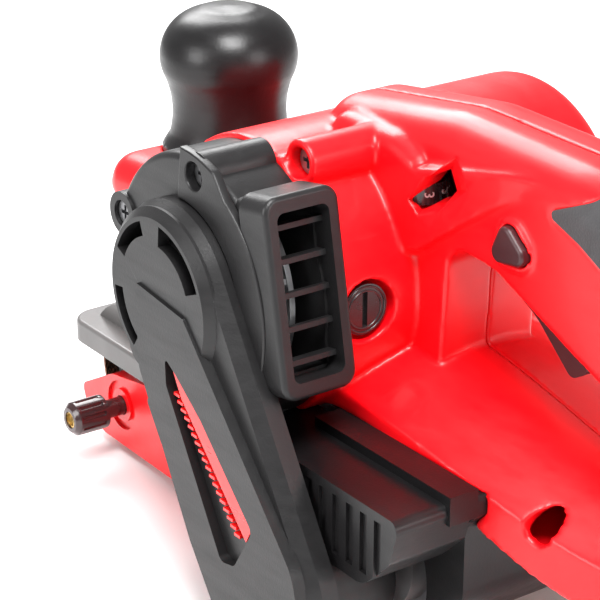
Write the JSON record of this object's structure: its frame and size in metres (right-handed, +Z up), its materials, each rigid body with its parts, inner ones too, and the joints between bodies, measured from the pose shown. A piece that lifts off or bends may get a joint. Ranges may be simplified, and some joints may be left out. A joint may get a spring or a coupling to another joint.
{
  "type": "belt sander",
  "caption": "Hand-held belt sander with a transverse motor, D-shaped rear handle, front knob handle, side drive-belt cover and ribbed dust outlet",
  "frame": {"origin": "on the surface that the sander stands on, below the middle of its bounding box", "axes": "+X is the machine's right side, +Y its front, the way it is pushed, +Z up"},
  "size_m": [0.15, 0.308, 0.16],
  "materials": {
    "red_plastic": "glossy red moulded nylon",
    "red_plate": "red painted sheet",
    "red_trim": "bright red insert",
    "soft_grip": "fine matt soft grip",
    "black_plastic": "black moulded nylon",
    "grey_black_plastic": "charcoal moulded nylon with a soft gloss",
    "grey_metal": "light grey satin paint",
    "frame_metal": "die-cast",
    "cast_metal": "die-cast and turned",
    "steel": "turned",
    "core_steel": "stacked laminations",
    "bearing_steel": "ground",
    "screw_steel": "blackened",
    "spring_steel": "tempered",
    "copper": "enamelled copper",
    "brass": "turned brass",
    "carbon": "pressed carbon",
    "cap_plastic": "glossy black",
    "dark_trigger": "very dark brown-black nylon",
    "dial_plastic": "black with pale figures",
    "belt_rubber": "black rubber",
    "abrasive": "brown aluminium-oxide grit on cloth",
    "cork_pad": "cork and graphite pad",
    "knob_plastic": "glossy near-black",
    "board": "green circuit board",
    "sleeve_rubber": "soft black rubber"
  },
  "bodies": {
    "root": {"housing_left": "red_plastic", "housing_right": "red_plastic", "side_plate": "red_plate", "cover_stripe": "red_trim", "grip_left": "soft_grip", "grip_right": "soft_grip", "front_handle": "black_plastic", "fan_volute": "grey_black_plastic", "dust_outlet": "grey_black_plastic", "belt_cover": "grey_black_plastic", "rear_casing": "black_plastic", "hinge_bracket": "black_plastic", "hinge_pin": "steel", "stator_core": "core_steel", "field_coils": "copper", "motor_bearing_left": "bearing_steel", "motor_bearing_right": "bearing_steel", "brush_holders": "brass", "carbon_brushes": "carbon", "brush_caps": "cap_plastic", "drive_belt": "belt_rubber", "sanding_belt": "abrasive", "roller_bearing_left": "bearing_steel", "roller_bearing_right": "bearing_steel", "belt_frame": "frame_metal", "tension_spring": "spring_steel", "sole_plate": "spring_steel", "sole_pad": "cork_pad", "switch": "black_plastic", "speed_board": "board", "cable_sleeve": "sleeve_rubber", "housing_screws": "screw_steel", "fan_casing_screws": "screw_steel", "front_handle_bolt": "screw_steel"},
    "armature": {"motor_shaft": "steel", "armature_core": "core_steel", "armature_windings": "copper", "commutator": "copper", "cooling_fan": "black_plastic", "dust_fan": "cast_metal", "motor_pulley": "cast_metal"},
    "drive_roller_set": {"drive_roller": "cast_metal", "roller_sleeve": "belt_rubber", "drive_shaft": "steel", "roller_pulley": "cast_metal"},
    "idler_carriage": {"idler_yoke": "steel", "idler_axle": "steel"},
    "idler_roller_set": {"idler_roller": "cast_metal", "idler_bearings": "bearing_steel"},
    "tension_lever_arm": {"tension_lever": "steel"},
    "tracking_adjuster": {"tracking_knob": "knob_plastic", "tracking_insert": "brass", "tracking_screw": "steel"},
    "trigger_lever": {"trigger": "dark_trigger"},
    "lock_pin": {"lock_button": "dark_trigger"},
    "speed_wheel": {"speed_dial": "dial_plastic"},
    "guard_flap": {"front_guard": "grey_metal"}
  },
  "joints": [
    {"name": "motor_spin", "type": "hinge", "parent": "root", "child": "armature", "pos_m": [0, 0.024, 0.102], "axis": [1, 0, 0], "continuous": true},
    {"name": "drive_roller_spin", "type": "hinge", "parent": "root", "child": "drive_roller_set", "pos_m": [0.017, -0.026, 0.027], "axis": [1, 0, 0], "continuous": true},
    {"name": "idler_slide", "type": "slide", "parent": "root", "child": "idler_carriage", "axis": [0, 1, 0], "range_m": [-0.006, 0], "stiffness_N_per_m": 3000, "springref_m": 0.008, "deforming": ["tension_spring"]},
    {"name": "idler_roller_spin", "type": "hinge", "parent": "idler_carriage", "child": "idler_roller_set", "pos_m": [0.017, 0.12475, 0.0235], "axis": [1, 0, 0], "continuous": true},
    {"name": "tension_lever_swing", "type": "hinge", "parent": "root", "child": "tension_lever_arm", "pos_m": [0.058, 0.072, 0.03], "axis": [1, 0, 0], "range_deg": [-60, 0]},
    {"name": "tracking_knob_turn", "type": "hinge", "parent": "root", "child": "tracking_adjuster", "pos_m": [-0.045, 0.118, 0.019], "axis": [1, 0, 0], "range_deg": [-270, 270]},
    {"name": "trigger_pull", "type": "hinge", "parent": "root", "child": "trigger_lever", "pos_m": [0.008, -0.039, 0.129], "axis": [1, 0, 0], "range_deg": [-6, 0], "stiffness_Nm_per_rad": 0.6, "springref_deg": 14.32},
    {"name": "lock_press", "type": "slide", "parent": "root", "child": "lock_pin", "axis": [1, 0, 0], "range_m": [0, 0.0025], "stiffness_N_per_m": 400, "springref_m": -0.002},
    {"name": "speed_dial_turn", "type": "hinge", "parent": "root", "child": "speed_wheel", "pos_m": [-0.0054, -0.0147, 0.135], "axis": [0, 0, 1], "range_deg": [-100, 150]},
    {"name": "guard_lift", "type": "hinge", "parent": "root", "child": "guard_flap", "pos_m": [0.013, 0.103, 0.0555], "axis": [1, 0, 0], "range_deg": [0, 50]}
  ],
  "couplings": [
    {"joint": "drive_roller_spin", "follows": "motor_spin", "ratio": 0.4375},
    {"joint": "idler_roller_spin", "follows": "motor_spin", "ratio": 0.50408},
    {"joint": "tension_lever_swing", "follows": "idler_slide", "rad_per_m": 170}
  ]
}
